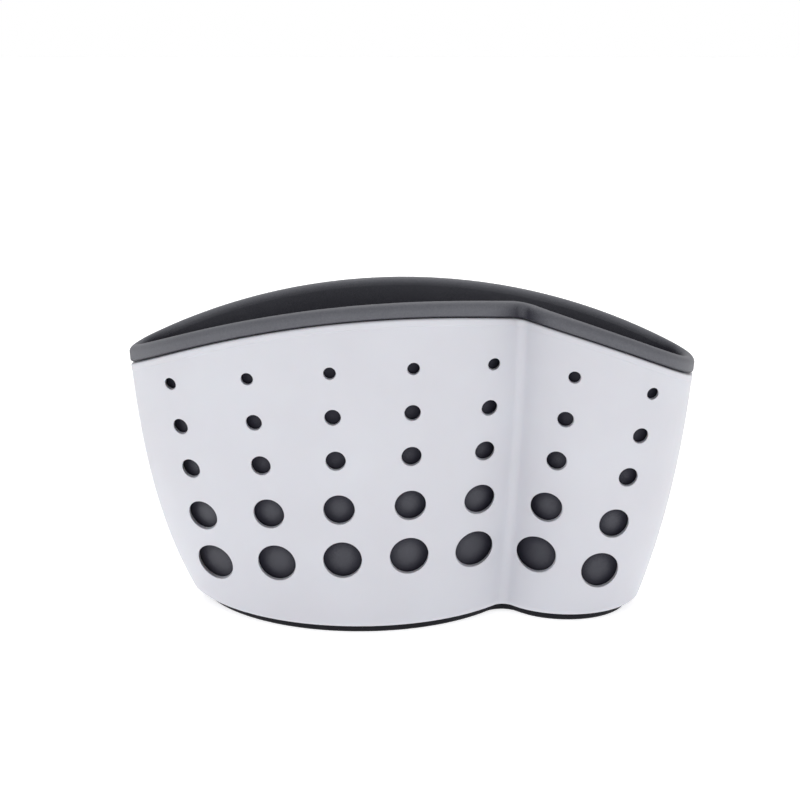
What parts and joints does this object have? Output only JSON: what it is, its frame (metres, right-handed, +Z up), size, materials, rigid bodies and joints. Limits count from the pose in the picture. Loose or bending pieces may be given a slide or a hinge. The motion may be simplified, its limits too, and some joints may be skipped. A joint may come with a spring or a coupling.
{
  "type": "kitchen sink caddy",
  "caption": "Two-lobed sink caddy: a tapered white tub with rows of round openings, a lift-out soft liner with a rolled rim, a soft base ring and suction cups on a flat back.",
  "frame": {"origin": "on the surface it stands on, under the middle of the overall outline", "axes": "+Z up; -Y towards the front with the two lobes; +Y towards the wall that the suction cups hold; +X towards the narrow lobe"},
  "size_m": [0.2018, 0.0707, 0.1189],
  "materials": {
    "white_shell": "satin moulded polypropylene",
    "grey_liner": "matte thermoplastic rubber",
    "dark_pad": "matte thermoplastic rubber",
    "soft_cup": "smooth soft vinyl"
  },
  "bodies": {
    "shell": {"outer_shell": "white_shell", "base_pad": "dark_pad", "suction_cup_left": "soft_cup", "suction_cup_right": "soft_cup"},
    "liner": {"inner_liner": "grey_liner"}
  },
  "joints": [
    {"name": "liner_lift", "type": "slide", "parent": "shell", "child": "liner", "axis": [0, 0, 1], "range_m": [0, 0.12]}
  ]
}
